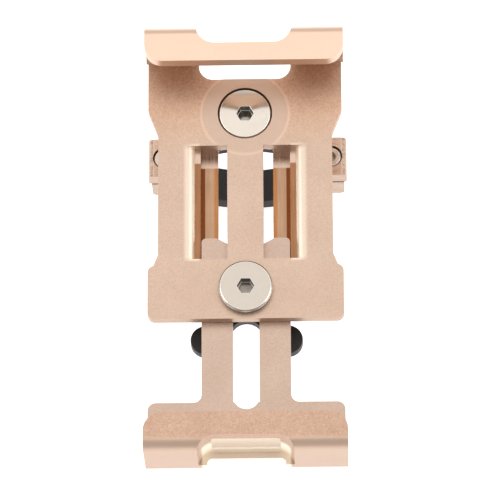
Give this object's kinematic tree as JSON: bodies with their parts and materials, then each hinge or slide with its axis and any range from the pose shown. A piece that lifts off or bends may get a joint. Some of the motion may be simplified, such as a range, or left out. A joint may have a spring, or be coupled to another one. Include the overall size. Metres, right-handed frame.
{
  "type": "handlebar phone holder",
  "caption": "Adjustable handlebar phone holder: a flat plate with a hooked claw, a sliding fork claw, a star knob, and a swivelling split clamp.",
  "frame": {"origin": "centre of the handlebar bore, midway along its width", "axes": "+Z out of the plate's phone face, +Y along the handlebar bore towards the fixed claw, +X across the plate"},
  "size_m": [0.0404, 0.0866, 0.0561],
  "materials": {
    "blasted_alloy": "sand-blasted, rose gold anodised",
    "machined_alloy": "machined, rose gold anodised",
    "steel": "polished stainless",
    "brass": "turned",
    "black_plastic": "matte moulded nylon",
    "rubber": "matte"
  },
  "bodies": {
    "clamp": {"clamp_upper": "machined_alloy", "liner_upper": "rubber", "upper_screw": "steel", "swivel_washer": "steel", "friction_disc": "black_plastic"},
    "clamp_jaw": {"clamp_lower": "machined_alloy", "liner_lower": "rubber"},
    "screw_left": {"clamp_screw_left": "steel"},
    "screw_right": {"clamp_screw_right": "steel"},
    "holder": {"front_plate": "blasted_alloy", "guide_plate": "machined_alloy", "guide_screws": "steel", "lower_screw": "steel", "knob_washer": "steel"},
    "slider": {"slide_claw": "blasted_alloy"},
    "knob": {"star_knob": "black_plastic", "knob_insert": "brass"}
  },
  "joints": [
    {"name": "swivel", "type": "hinge", "parent": "clamp", "child": "holder", "pos_m": [0, 0, 0.0214], "axis": [0, 0, 1], "continuous": true},
    {"name": "claw_slide", "type": "slide", "parent": "holder", "child": "slider", "axis": [0, 1, 0], "range_m": [-0.006, 0.0175]},
    {"name": "knob_turn", "type": "hinge", "parent": "holder", "child": "knob", "pos_m": [0, -0.0368, 0.019], "axis": [0, 0, -1], "range_deg": [0, 360]},
    {"name": "screw_left_turn", "type": "hinge", "parent": "clamp", "child": "screw_left", "pos_m": [-0.017, 0, 0], "axis": [0, 0, 1], "range_deg": [0, 1200]},
    {"name": "screw_right_turn", "type": "hinge", "parent": "clamp", "child": "screw_right", "pos_m": [0.017, 0, 0], "axis": [0, 0, 1], "range_deg": [0, 1200]},
    {"name": "jaw_open", "type": "slide", "parent": "clamp", "child": "clamp_jaw", "axis": [0, 0, -1], "range_m": [0, 0.0015]}
  ],
  "couplings": [
    {"joint": "screw_left_turn", "follows": "jaw_open", "rad_per_m": 13963},
    {"joint": "screw_right_turn", "follows": "jaw_open", "rad_per_m": 13963}
  ]
}
